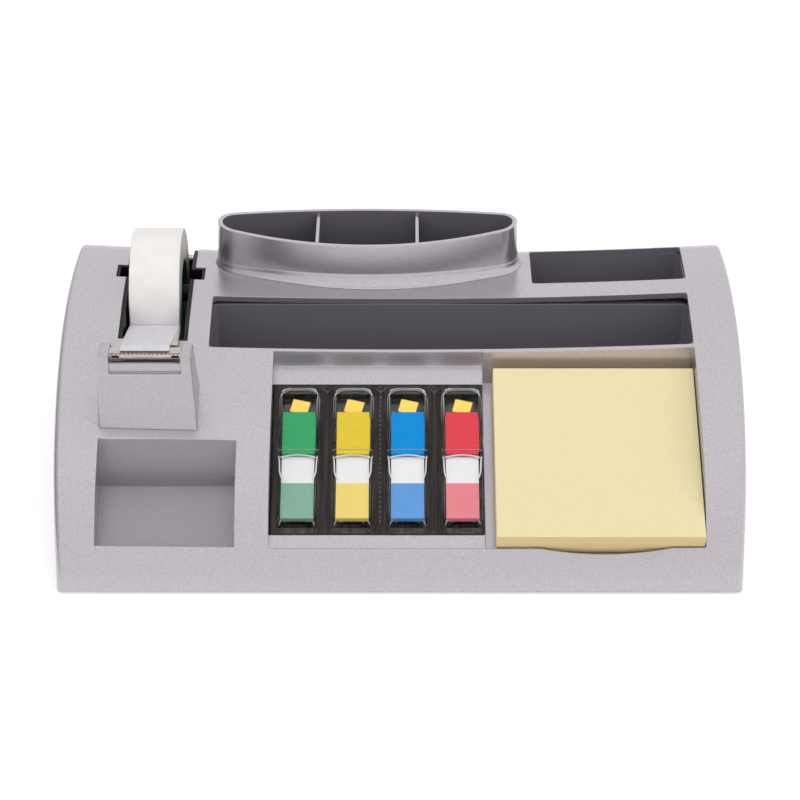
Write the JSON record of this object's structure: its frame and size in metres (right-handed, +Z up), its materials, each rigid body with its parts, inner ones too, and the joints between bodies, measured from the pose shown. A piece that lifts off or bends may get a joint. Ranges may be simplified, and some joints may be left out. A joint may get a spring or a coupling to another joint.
{
  "type": "tape dispenser organizer with drawer",
  "caption": "Silver arched desk organizer with tape roll and cutter, oval pen cup, trays, note pad, index flags and a drawer in its right side.",
  "frame": {"origin": "centre of the footprint on the desk plane", "axes": "+X to the right as seen from the front, +Y to the back, +Z up"},
  "size_m": [0.2588, 0.1596, 0.0852],
  "materials": {
    "silver_plastic": "satin",
    "inner_plastic": "satin",
    "black_plastic": "satin",
    "tray_plastic": "gloss",
    "weight_steel": "satin",
    "screw_steel": "satin",
    "foot_rubber": "matte",
    "blade_steel": "satin",
    "core_plastic": "gloss",
    "tape_film": "satin",
    "pad_paper": "matte",
    "cover_plastic": "gloss",
    "flag_green": "satin",
    "flag_yellow": "satin",
    "flag_blue": "satin",
    "flag_red": "satin"
  },
  "bodies": {
    "organizer": {"housing": "silver_plastic", "base_plate": "inner_plastic", "ballast_weight": "weight_steel", "base_screws": "screw_steel", "feet": "foot_rubber", "well_liner": "black_plastic", "pen_cup": "silver_plastic", "cutter_block": "silver_plastic", "cutter_blade": "blade_steel"},
    "drawer_unit": {"drawer": "inner_plastic", "drawer_front": "silver_plastic"},
    "reel_axle": {"roll_axle": "black_plastic", "tape_tail": "tape_film"},
    "reel": {"roll_hub": "black_plastic", "tape_core": "core_plastic", "tape_roll": "tape_film"},
    "pad": {"note_pad": "pad_paper"},
    "flag_set": {"flag_tray": "tray_plastic", "flag_cover_1": "cover_plastic", "flag_cover_2": "cover_plastic", "flag_cover_3": "cover_plastic", "flag_cover_4": "cover_plastic", "flag_stack_1": "flag_green", "flag_stack_2": "flag_yellow", "flag_stack_3": "flag_blue", "flag_stack_4": "flag_red"}
  },
  "joints": [
    {"name": "drawer_slide", "type": "slide", "parent": "organizer", "child": "drawer_unit", "axis": [1, 0, 0], "range_m": [0, 0.11]},
    {"name": "roll_lift", "type": "slide", "parent": "organizer", "child": "reel_axle", "axis": [0, 0, 1], "range_m": [0, 0.045]},
    {"name": "roll_spin", "type": "hinge", "parent": "reel_axle", "child": "reel", "pos_m": [-0.0951, 0.0455, 0.059], "axis": [1, 0, 0], "continuous": true},
    {"name": "pad_lift", "type": "slide", "parent": "organizer", "child": "pad", "axis": [0, -0.4131, 0.9107], "range_m": [0, 0.03]},
    {"name": "flags_lift", "type": "slide", "parent": "organizer", "child": "flag_set", "axis": [0, -0.4555, 0.8902], "range_m": [0, 0.02]}
  ]
}
